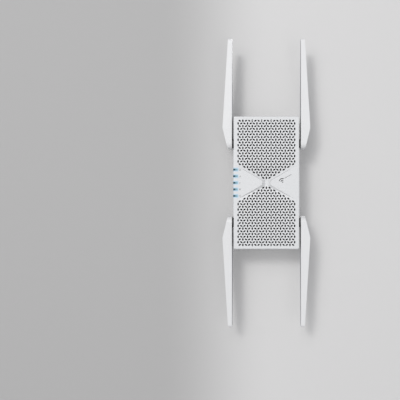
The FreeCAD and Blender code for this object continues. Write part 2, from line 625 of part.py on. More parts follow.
def small_screws():
    """The twelve that hold the main board, the heat sink and the power board."""
    places = [(*SINK_LEG, BOARD_REAR_Y, -1), (LUG_X, LUG_Z, BOARD_REAR_Y, -1),
              (POST_X, POST_Z, POWER_BOARD_FRONT_Y, 1)]
    return [mirrored(screw(*place, *SMALL_SCREW), sx, sz) for place in places for sx, sz in CORNERS]


def insulator_sheet():
    y0 = BOARD_REAR_Y + REAR_CHIP_HEIGHT
    return box(*INSULATOR_X, y0, y0 + INSULATOR_THICKNESS, -INSULATOR_HALF_Z, INSULATOR_HALF_Z)


# ---- power supply -----------------------------------------------------------------------------
POWER_BOARD_HALF_X, POWER_BOARD_HALF_Z = 31.0, 33.0
CORE_X, CORE_Y, CORE_Z = (-24.0, -4.0), (-37.5, -30.0), (9.0, 27.0)
CORE_YOKE, CORE_LIMB_HALF, CORE_WINDOW = 3.5, 2.5, 4.2
CORE_MID_Z = sum(CORE_Z) / 2
BOBBIN_WALL, BOBBIN_CHEEK, BOBBIN_HALF_Z = 0.6, 0.8, 6.5
WINDING_Y, WINDING_HALF_Z, WINDING_R = (-40.4, -27.4), 6.2, 2.2
CAN_RIM_R, CAN_GROOVE_R, CAN_GROOVE_UP = 0.6, 0.6, 2.2   # of the capacitors' cans
INPUT_CAPACITORS = (((4.5, 25), (16, 25)), 5.0, 15.0)    # their places, radius and height
OUTPUT_CAPACITORS = (((-15, -25), (-5, -25)), 4.0, 12.0)
CHOKE_X, CHOKE_Z, CHOKE_R, CHOKE_WIRE_R = 15.0, 6.0, 5.5, 2.7
CHOKE_BASE_R, CHOKE_BASE_HEIGHT, CHOKE_LIFT = 6.0, 1.6, 2.5
SUPPRESSOR = (-22, -7, 10.0, -14, -6)   # left, right, height, bottom and top
RECTIFIER = (10, 18, 7.5, -15, -9)
FUSE_X, FUSE_Z, FUSE_R, FUSE_HEIGHT = 2.0, -11.0, 4.0, 7.0
LINK_X, LINK_PINS, LINK_BLOCK = -28.0, 6, 6.0
LINK_PITCH, LINK_PIN_R, LINK_HALF_X = 2.0, 0.35, 1.5


def power_board():
    board = box(-POWER_BOARD_HALF_X, POWER_BOARD_HALF_X, POWER_BOARD_FRONT_Y, POWER_BOARD_REAR_Y,
                -POWER_BOARD_HALF_Z, POWER_BOARD_HALF_Z)
    holes = [rod(PIN_TAIL_R + 0.05, (s * PIN_SPACING / 2, POWER_BOARD_FRONT_Y - 1, 0), Y, 4) for s in (-1, 1)]
    post_hole = rod(SMALL_HOLE_R, (POST_X, POWER_BOARD_FRONT_Y - 1, POST_Z), Y, 4)
    holes += [mirrored(post_hole, sx, sz) for sx, sz in CORNERS]
    return board.cut(holes)


def transformer_core():
    """Two E halves joined: a frame with a middle limb, which the bobbin slides over."""
    frame = box(*CORE_X, *CORE_Y, *CORE_Z)
    windows = []
    for side in (-1, 1):
        z = sorted((CORE_MID_Z + side * CORE_LIMB_HALF, CORE_MID_Z + side * (CORE_LIMB_HALF + CORE_WINDOW)))
        windows.append(box(CORE_X[0] + CORE_YOKE, CORE_X[1] - CORE_YOKE, CORE_Y[0] - 1, CORE_Y[1] + 1, *z))
    return frame.cut(windows)


def bobbin_tube(x0, x1, grow):
    """A block round the core's middle limb, grow larger than it on each side."""
    return box(x0, x1, CORE_Y[0] - grow, CORE_Y[1] + grow,
               CORE_MID_Z - CORE_LIMB_HALF - grow, CORE_MID_Z + CORE_LIMB_HALF + grow)


def transformer_bobbin():
    x0, x1 = CORE_X[0] + CORE_YOKE + 0.1, CORE_X[1] - CORE_YOKE - 0.1
    parts = [bobbin_tube(x0, x1, BOBBIN_WALL)]
    for x in (x0, x1 - BOBBIN_CHEEK):
        parts.append(box(x, x + BOBBIN_CHEEK, WINDING_Y[0] - 0.2, POWER_BOARD_FRONT_Y,
                         CORE_MID_Z - BOBBIN_HALF_Z, CORE_MID_Z + BOBBIN_HALF_Z))
    return union(parts).cut(bobbin_tube(x0 - 1, x1 + 1, 0.05))


def transformer_winding():
    x0, x1 = CORE_X[0] + CORE_YOKE + 1.0, CORE_X[1] - CORE_YOKE - 1.0
    coil = box(x0, x1, *WINDING_Y, CORE_MID_Z - WINDING_HALF_Z, CORE_MID_Z + WINDING_HALF_Z)
    coil = coil.makeFillet(WINDING_R, [e for e in coil.Edges if e.BoundBox.XLength > 5])
    return coil.cut(bobbin_tube(x0 - 1, x1 + 1, BOBBIN_WALL + 0.05))


def round_topped(x, z, radius, height, top_r):
    """A can that stands on the power board, its top edge rounded."""
    top_y = POWER_BOARD_FRONT_Y - height
    can = rod(radius, (x, top_y, z), Y, height)
    return can.makeFillet(top_r, [e for e in can.Edges if e.BoundBox.YMax < top_y + 1e-3])


def capacitors(places, radius, height):
    """Electrolytic capacitors, each with a rolled groove near its foot."""
    cans = []
    for x, z in places:
        groove_at = Vector(x, POWER_BOARD_FRONT_Y - CAN_GROOVE_UP, z)
        groove = Part.makeTorus(radius + 0.2, CAN_GROOVE_R, groove_at, Y)
        cans.append(round_topped(x, z, radius, height, CAN_RIM_R).cut(groove))
    return cans


def filter_choke():
    base_y = POWER_BOARD_FRONT_Y - CHOKE_BASE_HEIGHT
    base = rod(CHOKE_BASE_R, (CHOKE_X, base_y, CHOKE_Z), Y, CHOKE_BASE_HEIGHT)
    wound = Part.makeTorus(CHOKE_R, CHOKE_WIRE_R, Vector(CHOKE_X, base_y - CHOKE_LIFT, CHOKE_Z), Y)
    return union([wound, base])


def power_block(x0, x1, height, z0, z1):
    return box(x0, x1, POWER_BOARD_FRONT_Y - height, POWER_BOARD_FRONT_Y, z0, z1)


def mains_fuse():
    return round_topped(FUSE_X, FUSE_Z, FUSE_R, FUSE_HEIGHT, 0.5)


def link_pins():
    y0, length = BOARD_REAR_Y + 0.1, POWER_BOARD_FRONT_Y - BOARD_REAR_Y - 0.2
    heights = [(i - (LINK_PINS - 1) / 2) * LINK_PITCH for i in range(LINK_PINS)]
    return [rod(LINK_PIN_R, (LINK_X, y0, z), Y, length) for z in heights]


def link_block(y0, y1):
    half_z = LINK_PINS * LINK_PITCH / 2 + 0.5
    return box(LINK_X - LINK_HALF_X, LINK_X + LINK_HALF_X, y0, y1, -half_z, half_z).cut(link_pins())


# ---- network socket ---------------------------------------------------------------------------
JACK_REAR_X = JACK_FRONT_X - JACK_LENGTH
JACK_SHELL, JACK_BACK = 0.3, 5.0      # the metal's thickness, and what is left behind the opening
LAMP_Y, LAMP_Z, LAMP_DEPTH = (-36.6, -34.6), (4.0, 6.8), 3.0
CONTACT_COUNT, CONTACT_PITCH, CONTACT_WIDTH = 8, 1.02, 0.4
CONTACT_SHAPE = [(38.5, 0), (38.5, 0.4), (28.0, 2.8), (28.0, 2.5), (37.2, 0)]   # x, and height in the opening


def jack_block(inset):
    half_z = JACK_HALF_Z - inset
    return box(JACK_REAR_X + inset, JACK_FRONT_X - inset, BOARD_REAR_Y + inset,
               BOARD_REAR_Y + JACK_HEIGHT - inset, JACK_Z - half_z, JACK_Z + half_z)


def port(x0):
    """The socket's opening from x0 outwards: the plug's body and, behind it, the latch's channel."""
    body = box(x0, JACK_FRONT_X + 1, *PORT_Y, JACK_Z - PORT_HALF_Z, JACK_Z + PORT_HALF_Z)
    latch = box(x0, JACK_FRONT_X + 1, PORT_Y[1] - 0.1, LATCH_Y, JACK_Z - LATCH_HALF_Z, JACK_Z + LATCH_HALF_Z)
    return body.fuse(latch).removeSplitter()


def jack_lamps():
    lamps = []
    for side in (-1, 1):
        z = sorted(JACK_Z + side * edge for edge in LAMP_Z)
        lamps.append(box(JACK_FRONT_X - LAMP_DEPTH, JACK_FRONT_X, *LAMP_Y, *z))
    return lamps


def jack_shell():
    return jack_block(0).cut([jack_block(JACK_SHELL), port(JACK_FRONT_X - 1)] + jack_lamps())


def jack_insert():
    return jack_block(JACK_SHELL).cut([port(JACK_REAR_X + JACK_BACK)] + jack_lamps())


def jack_contacts():
    """Eight sprung wires that slope up from the socket's floor."""
    contacts = []
    for i in range(CONTACT_COUNT):
        z = JACK_Z + (i - (CONTACT_COUNT - 1) / 2) * CONTACT_PITCH - CONTACT_WIDTH / 2
        corners = [Vector(x, PORT_Y[0] + up, z) for x, up in CONTACT_SHAPE]
        contacts.append(Part.Face(Part.makePolygon(corners + corners[:1])).extrude(Z * CONTACT_WIDTH))
    return contacts


# ---- buttons ----------------------------------------------------------------------------------
PRESS = 0.5
SWITCH_X, SWITCH_HEIGHT, SWITCH_HALF_Z = (32.4, 36.4), 3.6, 3.0
PLUNGER_X, PLUNGER_R = (35.0, 37.4), 0.9
BUTTON_EDGE_R, BUTTON_FLANGE_Y, BUTTON_FLANGE_Z = 0.4, 0.7, 0.8


def switch_bodies():
    bodies = []
    for z in (PAIRING_Z, RESET_Z, POWER_Z):
        block = box(*SWITCH_X, BOARD_REAR_Y, BOARD_REAR_Y + SWITCH_HEIGHT,
                    z - SWITCH_HALF_Z, z + SWITCH_HALF_Z)
        bodies.append(block.cut(rod(PLUNGER_R + 0.1, (PLUNGER_X[0] - PRESS - 0.3, SWITCH_Y, z), X, 5)))
    return bodies


def switch_plunger(z):
    return rod(PLUNGER_R, (PLUNGER_X[0], SWITCH_Y, z), X, PLUNGER_X[1] - PLUNGER_X[0])


def button_cap(z):
    """A pill that stands a little proud of the side, with a flange that keeps it in."""
    front_x = HALF_W + BUTTON_PROUD
    face = pill(BUTTON_HALF_Y, BUTTON_HALF_Z, PLUNGER_X[1], front_x, z)
    face = face.makeFillet(BUTTON_EDGE_R, [e for e in face.Edges if e.BoundBox.XMin > front_x - 0.01])
    flange = pill(BUTTON_HALF_Y + BUTTON_FLANGE_Y, BUTTON_HALF_Z + BUTTON_FLANGE_Z, PLUNGER_X[1],
                  CAVITY_X - MATE_GAP, z)
    return union([face, flange])


# ---- antennas ---------------------------------------------------------------------------------
LID_GAP = 0.05
RADIATOR_X = 44.9
RADIATOR_THICKNESS = 0.8
RADIATOR_HALF_Y = 3.8
RADIATOR_Z = (72.0, 162.0)
REST_Z, REST_R = (88.0, 150.0), 2.0   # the two pegs that the radiator stands on
CLIP_OPENING = 1.6                    # half of the gap in the retaining ring


def blade(inset, inner_x):
    """The antenna's solid shape, drawn in by inset everywhere except at its inner face."""
    foot, tip = FOOT_Z + inset, ANTENNA_TIP_Z - inset
    outer = ANTENNA_INNER_X - inset
    front_view = [(inner_x, foot), (outer + FOOT_WIDTH, foot), (outer + WIDEST, WIDEST_Z),
                  (outer + TIP_WIDTH, tip), (inner_x, tip)]
    front_solid = plate_xz(front_view, FRONT_RADII, FRONT_Y, REAR_Y)
    front, rear = FOOT_Y[0] + inset, FOOT_Y[1] - inset
    tip_front, tip_rear = TIP_Y[0] + inset, TIP_Y[1] - inset
    side_view = [(front, foot), (rear, foot), (rear, REAR_BEND_Z),
                 (tip_rear, tip), (tip_front, tip), (front, WIDEST_Z)]
    radii = [FOOT_R[0] - inset, FOOT_R[1] - inset, BEND_R, TIP_R, TIP_R, BEND_R]
    wire = rounded_wire([(inner_x - 1, y, z) for y, z in side_view], radii)
    return front_solid.common(Part.Face(wire).extrude(X * 20))


def antenna_shell():
    solid = blade(0, ANTENNA_INNER_X)
    return solid.cut(blade(ANTENNA_WALL, ANTENNA_INNER_X - 1))


def antenna_lid():
    """The inner side of the antenna, with the hollow trunnion that it turns on."""
    lid = blade(ANTENNA_WALL + LID_GAP, ANTENNA_INNER_X)
    lid = lid.common(box(0, ANTENNA_INNER_X + ANTENNA_WALL, -100, 0, 0, 300))
    collar = rod(COLLAR_R, (COLLAR_X, HINGE_Y, HINGE_Z), X, ANTENNA_INNER_X + 1 - COLLAR_X)
    trunnion = rod(TRUNNION_R, (TRUNNION_END_X, HINGE_Y, HINGE_Z), X, ANTENNA_INNER_X + 1 - TRUNNION_END_X)
    rest_x = ANTENNA_INNER_X + 1
    rests = [rod(REST_R, (rest_x, HINGE_Y, z), X, RADIATOR_X - rest_x) for z in REST_Z]
    groove = ring(CLIP_GROOVE_R, TRUNNION_R + 1, *CLIP_GROOVE_X)
    bore = rod(CABLE_BORE_R, (TRUNNION_END_X - 1, HINGE_Y, HINGE_Z), X, 20)
    return union([lid, collar, trunnion] + rests).cut([groove, bore])


def ring(inner_r, outer_r, x0, x1):
    start = (x0, HINGE_Y, HINGE_Z)
    return rod(outer_r, start, X, x1 - x0).cut(rod(inner_r, start, X, x1 - x0))


def hinge_clip():
    """A retaining ring, open on one side, in the trunnion's groove."""
    x0, x1 = CLIP_GROOVE_X[0] + 0.05, CLIP_GROOVE_X[1] - 0.05
    gap = box(x0 - 1, x1 + 1, HINGE_Y - 8, HINGE_Y, HINGE_Z - CLIP_OPENING, HINGE_Z + CLIP_OPENING)
    return ring(CLIP_GROOVE_R + 0.02, CLIP_R, x0, x1).cut(gap)


def hinge_washers():
    """One between each retaining ring and the seat: its grip on them holds the antenna where it is put."""
    washer = ring(SEAT_BORE_R, WASHER_R, CLIP_GROOVE_X[1] + 0.1, SEAT_INNER_X)
    return [mirrored(washer, sx, sz) for sx, sz in CORNERS]


def radiator():
    x0 = RADIATOR_X
    y0, y1 = HINGE_Y - RADIATOR_HALF_Y, HINGE_Y + RADIATOR_HALF_Y
    return box(x0, x0 + RADIATOR_THICKNESS, y0, y1, *RADIATOR_Z)


COAX_SPLIT_X = TRUNNION_END_X - 0.3


def antenna_coax():
    """In from the hinge axis, then up the blade and onto the radiator."""
    x = RADIATOR_X + RADIATOR_THICKNESS + COAX_DIAMETER / 2
    return cable([(COAX_SPLIT_X, HINGE_Y, HINGE_Z), (x + 0.6, HINGE_Y, HINGE_Z),
                  (x + 0.3, HINGE_Y, HINGE_Z + 11), (x, HINGE_Y, HINGE_Z + 25)], COAX_DIAMETER)


LEAD_X, LEAD_END_Z = 26.6, 37.0
SOCKET_R, SOCKET_HEIGHT = 1.5, 1.9


def board_lead():
    """The same cable from the hinge axis to its socket on the front of the main board."""
    end_y = BOARD_FRONT_Y - SOCKET_HEIGHT / 2
    return cable([(COAX_SPLIT_X, HINGE_Y, HINGE_Z), (LEAD_X + 0.4, HINGE_Y, HINGE_Z),
                  (LEAD_X, HINGE_Y + 0.2, HINGE_Z - 7), (LEAD_X, end_y, LEAD_END_Z)], COAX_DIAMETER)


def lead_socket():
    return rod(SOCKET_R, (LEAD_X, BOARD_FRONT_Y - SOCKET_HEIGHT, LEAD_END_Z - 0.6), Y, SOCKET_HEIGHT)


CORNER_NAMES = {(-1, 1): "top_left", (1, 1): "top_right", (-1, -1): "bottom_left", (1, -1): "bottom_right"}


def save_antennas():
    shell, lid, coax = antenna_shell(), antenna_lid(), antenna_coax()
    print("antenna cable bend radii:", [round(r, 1) for r in coax[1]])
    pieces = {"shell": shell, "lid": lid, "radiator": radiator(), "coax": coax[0],
              "hinge_clip": hinge_clip()}
    for (sx, sz), corner in CORNER_NAMES.items():
        for piece, shape in pieces.items():
            save("antenna_%s_%s" % (corner, piece), mirrored(shape, sx, sz))


def main():
    os.makedirs("parts", exist_ok=True)
    envelope = body_envelope()
    save("front_grille", front_grille(envelope))
    save("front_frame", front_frame(envelope))
    save("rear_housing", rear_housing(envelope))
    save("housing_screws", *housing_screws())
    save("rating_label", rating_label())
    save("plug_body", plug_body())
    save("plug_pins", *plug_pins())
    save("light_guide", light_guide(envelope))
    save("status_leds", *status_leds())
    save("main_board", main_board())
    save("small_screws", *small_screws())
    save("board_chips", *board_chips())
    save("shield_cans", *shield_cans())
    save("thermal_pads", *thermal_pads())
    save("heat_sink", heat_sink())
    save("insulator_sheet", insulator_sheet())
    save("power_board", power_board())
    save("transformer_core", transformer_core())
    save("transformer_bobbin", transformer_bobbin())
    save("transformer_winding", transformer_winding())
    save("input_capacitors", *capacitors(*INPUT_CAPACITORS))
    save("output_capacitors", *capacitors(*OUTPUT_CAPACITORS))
    save("filter_choke", filter_choke())
    save("suppression_capacitor", power_block(*SUPPRESSOR))
    save("rectifier", power_block(*RECTIFIER))
    save("mains_fuse", mains_fuse())
    save("board_link", link_block(BOARD_REAR_Y, BOARD_REAR_Y + LINK_BLOCK),
         link_block(POWER_BOARD_FRONT_Y - LINK_BLOCK, POWER_BOARD_FRONT_Y))
    save("board_link_pins", *link_pins())
    save("ethernet_shell", jack_shell())
    save("ethernet_insert", jack_insert())
    save("ethernet_contacts", *jack_contacts())
    save("ethernet_lamps", *jack_lamps())
    save("switch_bodies", *switch_bodies())
    save("power_button", button_cap(POWER_Z), switch_plunger(POWER_Z))
    save("pairing_button", button_cap(PAIRING_Z), switch_plunger(PAIRING_Z))
    save("reset_plunger", switch_plunger(RESET_Z))
    lead, radii = board_lead()
    print("board lead bend radii:", [round(r, 1) for r in radii])
    sockets = lead_socket().cut(lead)
    save("coax_leads", *[mirrored(lead, sx, sz) for sx, sz in CORNERS])
    save("coax_sockets", *[mirrored(sockets, sx, sz) for sx, sz in CORNERS])
    save("hinge_washers", *hinge_washers())
    save_antennas()


main()
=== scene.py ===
import json
import math
import random

import bmesh
import bpy
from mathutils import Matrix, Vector


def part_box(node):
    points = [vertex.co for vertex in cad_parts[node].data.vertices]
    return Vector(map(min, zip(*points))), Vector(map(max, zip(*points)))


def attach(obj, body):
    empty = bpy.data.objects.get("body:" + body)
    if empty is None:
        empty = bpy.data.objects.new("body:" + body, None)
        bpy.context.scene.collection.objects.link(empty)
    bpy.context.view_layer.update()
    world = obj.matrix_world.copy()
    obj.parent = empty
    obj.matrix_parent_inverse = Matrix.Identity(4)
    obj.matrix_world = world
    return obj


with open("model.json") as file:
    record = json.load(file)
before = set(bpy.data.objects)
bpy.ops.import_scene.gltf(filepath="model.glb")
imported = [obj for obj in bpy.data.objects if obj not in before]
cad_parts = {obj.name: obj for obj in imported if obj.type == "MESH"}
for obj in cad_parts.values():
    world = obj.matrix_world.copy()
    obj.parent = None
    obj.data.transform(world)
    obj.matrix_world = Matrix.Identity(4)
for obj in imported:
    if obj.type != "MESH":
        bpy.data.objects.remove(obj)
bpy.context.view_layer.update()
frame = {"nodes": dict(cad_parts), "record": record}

# The looks of a wall-plug wireless range extender. Metres, in the CAD frame: +Z up, -Y out of the
# front grille, +X to the viewer's right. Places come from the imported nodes' boxes.

MM = 0.001
NODES = frame["nodes"]
HOUSING = "housing"

FRONT_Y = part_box("front_grille")[0].y
REAR_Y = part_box("rear_housing")[1].y
LEFT_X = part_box("front_grille")[0].x
LENS_INNER_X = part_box("light_guide")[1].x
LED_Z = [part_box("status_leds")[0].z + 0.4 * MM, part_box("status_leds")[1].z - 0.4 * MM]
LED_COUNT = 5
LED_PITCH = (LED_Z[1] - LED_Z[0]) / (LED_COUNT - 1)


# ---- materials --------------------------------------------------------------------------------
def grey(level, warm=0.0):
    """A near-neutral linear colour; warm above 0 leans to yellow and below 0 to blue."""
    return (level * (1 + warm), level, level * (1 - warm))


SHELL_COLOUR = grey(0.70, -0.004)
ANTENNA_COLOUR = grey(0.73, 0.002)
# The lid's grey is partly its own colour and partly painted shade for the gap beside the case; the
# bearing's near-black is painted shade.
LID_GREY_AND_SHADE = grey(0.38)
BEARING_SHADE_COLOUR = grey(0.03)
LID_FACE_X = 42.5 * MM                  # nearer the middle than this, a lid is its bearing

INSIDE_SHADE_COLOUR = grey(0.02)                # painted shade: the case's inside and its walls' insides, near-black so the slots look dark
INSIDE_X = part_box("rear_housing")[1].x - 2.4 * MM
INSIDE_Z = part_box("rear_housing")[1].z - 1.9 * MM
INSIDE_Y = (FRONT_Y + 3.45 * MM, REAR_Y - 1.9 * MM)

LENS_STRENGTH = 0.8
LENS_FADE_X = (LEFT_X + 1.9 * MM, LEFT_X + 3.4 * MM)
WINDOW_HALF = 1.2 * MM                  # half the height of one lens's window
# Painted light: a blue glow painted into the case's colour and emission round each lens.
HALO_STRENGTH = 0.06
HALO_REACH = 2.0 * MM
HALO_DEPTH = 2.5 * MM
HALO_PAINTED_COLOUR = (0.36, 0.58, 0.76)
HALO_LIGHT = (0.20, 0.50, 0.85, 1)

SINK_SCALE, SINK_DEPTH = 28, 0.07 * MM  # the faint wide waves of moulded plastic


class Shader:
    """One Principled material and short calls that build the nodes feeding it."""

    def __init__(self, name, colour, roughness, **sockets):
        self.material = bpy.data.materials.new(name)
        self.material.use_nodes = True
        self.tree = self.material.node_tree
        self.surface = next(n for n in self.tree.nodes if n.type == "BSDF_PRINCIPLED")
        self.colour = colour
        self.set("Base Color", (*colour, 1))
        self.set("Roughness", roughness)
        for socket, value in sockets.items():
            self.set(socket.replace("_", " "), value)
        self.coords = self.add("ShaderNodeTexCoord").outputs["Object"]
        self.normal = None
        self.base = None

    def add(self, kind, inputs=None, **settings):
        node = self.tree.nodes.new(kind)
        for key, value in settings.items():
            setattr(node, key, value)
        for key, value in (inputs or {}).items():
            self.put(node.inputs[key], value)
        return node

    def put(self, socket, value):
        if isinstance(value, bpy.types.NodeSocket):
            self.tree.links.new(value, socket)
        else:
            socket.default_value = value

    def set(self, socket, value):
        self.put(self.surface.inputs[socket], value)

    def stretched(self, scale):
        return self.add("ShaderNodeMapping", {"Vector": self.coords, "Scale": scale}).outputs["Vector"]

    def noise(self, scale, detail=2.0, roughness=0.5, stretch=None):
        where = self.stretched(stretch) if stretch else self.coords
        inputs = {"Vector": where, "Scale": scale, "Detail": detail, "Roughness": roughness}
        return self.add("ShaderNodeTexNoise", inputs).outputs["Fac"]

    def cells(self, scale, feature="F1", stretch=None):
        where = self.stretched(stretch) if stretch else self.coords
        node = self.add("ShaderNodeTexVoronoi", {"Vector": where, "Scale": scale}, feature=feature)
        return node.outputs["Distance"]

    def math(self, operation, a, b=0.0, clamp=False):
        node = self.add("ShaderNodeMath", operation=operation, use_clamp=clamp)
        self.put(node.inputs[0], a)
        self.put(node.inputs[1], b)
        return node.outputs[0]

    def spread(self, value, low, high, to_low=0.0, to_high=1.0, smooth=False):
        """value rescaled from low..high to to_low..to_high, and held there outside."""
        node = self.add("ShaderNodeMapRange", {"Value": value, "From Min": low, "From Max": high,
                                               "To Min": to_low, "To Max": to_high})
        node.interpolation_type = "SMOOTHSTEP" if smooth else "LINEAR"
        return node.outputs["Result"]

    def blend(self, factor, a, b):
        node = self.add("ShaderNodeMix", data_type="RGBA")
        self.put(node.inputs[0], factor)
        for socket, colour in ((node.inputs[6], a), (node.inputs[7], b)):
            self.put(socket, (*colour, 1) if isinstance(colour, tuple) and len(colour) == 3 else colour)
        return node.outputs[2]

    def axes(self):
        node = self.add("ShaderNodeSeparateXYZ", {"Vector": self.coords})
        return node.outputs["X"], node.outputs["Y"], node.outputs["Z"]

    def bump(self, height, distance, strength=1.0):
        """Adds a bump of that depth in metres on top of the ones before it."""
        inputs = {"Height": height, "Distance": distance, "Strength": strength}
        if self.normal is not None:
            inputs["Normal"] = self.normal
        self.normal = self.add("ShaderNodeBump", inputs).outputs["Normal"]
        self.set("Normal", self.normal)

    def vary_colour(self, scale, amount, detail=2.0):
        """Mottles the base colour by amount, light and dark."""
        fac = self.noise(scale, detail)
        dark = tuple(c * (1 - amount) for c in self.colour)
        light = tuple(min(1.0, c * (1 + amount)) for c in self.colour)
        self.base = self.blend(fac, dark, light)
        self.set("Base Color", self.base)
        return self.base

    def vary_roughness(self, scale, low, high, detail=3.0):
        self.set("Roughness", self.spread(self.noise(scale, detail), 0.3, 0.7, low, high))


def moulded(name, colour, roughness, grain=2400, depth=0.018):
    """Injection-moulded plastic: a fine spark-eroded grain over faint sink marks."""
    s = Shader(name, colour, roughness, IOR=1.5)
    s.vary_colour(55, 0.012)
    s.vary_roughness(900, roughness - 0.05, roughness + 0.06)
    s.bump(s.noise(SINK_SCALE, 1), SINK_DEPTH, 0.6)
    s.bump(s.noise(grain, 3, 0.6), depth * MM, 0.7)
    return s


def shell_plastic():
    """The case: white plastic with a painted blue glow round each status light, standing for its light
    through the edge.

    Its inside, back from the grille's front, is painted near-black as shade, so the slots look dark.
    """
    s = moulded("shell_plastic", SHELL_COLOUR, 0.44)
    x, y, z = s.axes()
    nearest = s.math("PINGPONG", z, LED_PITCH / 2)
    up = s.math("MAXIMUM", s.math("SUBTRACT", nearest, WINDOW_HALF), 0.0)
    across = s.math("MAXIMUM", s.math("SUBTRACT", x, LENS_INNER_X), 0.0)
    squares = s.math("ADD", s.math("MULTIPLY", up, up), s.math("MULTIPLY", across, across))
    distance = s.math("SQRT", squares)
    # Painted light: the glow round each lens, in base colour and in emission.
    glow = s.spread(distance, 0.0, HALO_REACH, 1.0, 0.0, smooth=True)
    column = s.math("LESS_THAN", s.math("ABSOLUTE", z), LED_PITCH * LED_COUNT / 2)
    front = s.math("LESS_THAN", y, FRONT_Y + HALO_DEPTH)
    halo = s.math("MULTIPLY", s.math("MULTIPLY", glow, column), front)
    with_painted_glow = s.blend(s.spread(halo, 0, 1, 0, 0.75), s.base, HALO_PAINTED_COLOUR)
    # Painted shade: the case's inside, behind the grille's front, turns near-black.
    sides = s.math("LESS_THAN", s.math("ABSOLUTE", x), INSIDE_X)
    ends = s.math("LESS_THAN", s.math("ABSOLUTE", z), INSIDE_Z)
    behind_front, before_back = s.math("GREATER_THAN", y, INSIDE_Y[0]), s.math("LESS_THAN", y, INSIDE_Y[1])
    depth = s.math("MULTIPLY", behind_front, before_back)
    painted_inside_shade = s.math("MULTIPLY", s.math("MULTIPLY", sides, ends), depth)
    s.set("Base Color", s.blend(painted_inside_shade, with_painted_glow, INSIDE_SHADE_COLOUR))
    s.set("Emission Color", HALO_LIGHT)
    s.set("Emission Strength", s.math("MULTIPLY", halo, HALO_STRENGTH))
    return s.material


def antenna_plastic():
    s = moulded("antenna_plastic", ANTENNA_COLOUR, 0.40, grain=2800, depth=0.014)
    s.bump(s.noise(70, 2, stretch=(1, 1, 0.06)), 0.03 * MM, 0.4)
    return s.material


def antenna_lid_plastic():
    """The antenna's inner side: a slightly greyer moulding, with a near-black bearing where it turns; the
    grey is partly its own colour and partly painted shade, and the near-black is painted shade, for the
    narrow gap beside the case.
    """
    s = moulded("antenna_lid_plastic", LID_GREY_AND_SHADE, 0.5, grain=2000, depth=0.02)
    x, _, _ = s.axes()
    bearing = s.math("LESS_THAN", s.math("ABSOLUTE", x), LID_FACE_X)
    s.set("Base Color", s.blend(bearing, s.base, BEARING_SHADE_COLOUR))
    return s.material


def button_plastic():
    return moulded("button_plastic", grey(0.72), 0.36, grain=3600, depth=0.008).material


def plug_plastic():
    return moulded("plug_plastic", grey(0.66, 0.01), 0.5, grain=1600, depth=0.03).material


def pin_nickel():
    s = Shader("pin_nickel", (0.66, 0.63, 0.58), 0.22, Metallic=1.0)
    s.vary_colour(300, 0.05)
    scratches = s.noise(900, 3, stretch=(1, 0.03, 1))
    s.set("Roughness", s.spread(scratches, 0.35, 0.75, 0.16, 0.38))
    s.bump(scratches, 0.01 * MM, 0.5)
    return s.material


def light_guide_acrylic():
    """Blue-green acrylic lit from behind: nearly dark at its outer edge, brighter towards the middle."""
    s = Shader("light_guide_acrylic", (0.02, 0.10, 0.20), 0.12, IOR=1.49)
    x, _, _ = s.axes()
    along = s.spread(x, *LENS_FADE_X, smooth=True)
    s.set("Base Color", s.blend(along, (0.012, 0.045, 0.06), (0.10, 0.19, 0.23)))
    s.set("Emission Color", s.blend(along, (0.01, 0.045, 0.06), (0.18, 0.29, 0.33)))
    s.set("Emission Strength", s.spread(s.noise(700, 2), 0.3, 0.7, 0.85 * LENS_STRENGTH, LENS_STRENGTH))
    s.bump(s.noise(1500, 2), 0.01 * MM, 0.4)
    return s.material


def led_chip():
    s = Shader("led_chip", (0.85, 0.86, 0.62), 0.3)
    s.vary_colour(2500, 0.06)
    s.set("Emission Color", (0.25, 0.65, 1.0, 1))
    s.set("Emission Strength", 2.0)
    s.bump(s.noise(3000, 2), 0.01 * MM, 0.5)
    return s.material


def circuit_board(name, colour, copper):
    """Solder mask over tracks that run straight across and along, with vias here and there."""
    s = Shader(name, colour, 0.35, IOR=1.5)
    tracks = s.math("GREATER_THAN", s.noise(160, 1, stretch=(0.12, 1, 1)), 0.56)
    lanes = s.math("GREATER_THAN", s.noise(190, 1, stretch=(1, 1, 0.12)), 0.58)
    vias = s.math("LESS_THAN", s.cells(420), 0.16)
    pattern = s.math("MAXIMUM", tracks, lanes)
    base = s.blend(s.spread(pattern, 0, 1, 0, 0.55), colour, tuple(c * 1.9 for c in colour))
    s.set("Base Color", s.blend(s.spread(vias, 0, 1, 0, 0.8), base, copper))
    s.set("Roughness", s.spread(s.noise(600, 2), 0.3, 0.7, 0.28, 0.42))
    s.bump(pattern, 0.03 * MM, 0.5)
    s.bump(vias, 0.02 * MM, 0.5)
    return s.material


def chip_black():
    s = Shader("chip_black", grey(0.018), 0.55)
    s.vary_colour(700, 0.25)
    s.vary_roughness(1200, 0.45, 0.65)
    s.bump(s.noise(3500, 3), 0.012 * MM, 0.7)
    return s.material


def metal(name, colour, low, high, stretch, **sockets):
    """Sheet or wire metal with a drawn or rolled grain along one direction."""
    s = Shader(name, colour, (low + high) / 2, Metallic=1.0, **sockets)
    s.vary_colour(240, 0.06)
    grain = s.noise(1400, 3, stretch=stretch)
    s.set("Roughness", s.spread(grain, 0.3, 0.7, low, high))
    s.bump(grain, 0.008 * MM, 0.6)
    return s.material


def thermal_pad():
    s = Shader("thermal_pad", (0.16, 0.25, 0.34), 0.8)
    s.vary_colour(400, 0.1)
    s.bump(s.noise(1100, 4), 0.05 * MM, 0.8)
    return s.material


def black_anodised():
    s = Shader("heat_sink_aluminium", grey(0.022), 0.5, Metallic=0.6)
    s.vary_colour(180, 0.15)
    grain = s.noise(1300, 3, stretch=(1, 1, 0.04))
    s.set("Roughness", s.spread(grain, 0.3, 0.7, 0.4, 0.6))
    s.bump(grain, 0.02 * MM, 0.5)
    return s.material


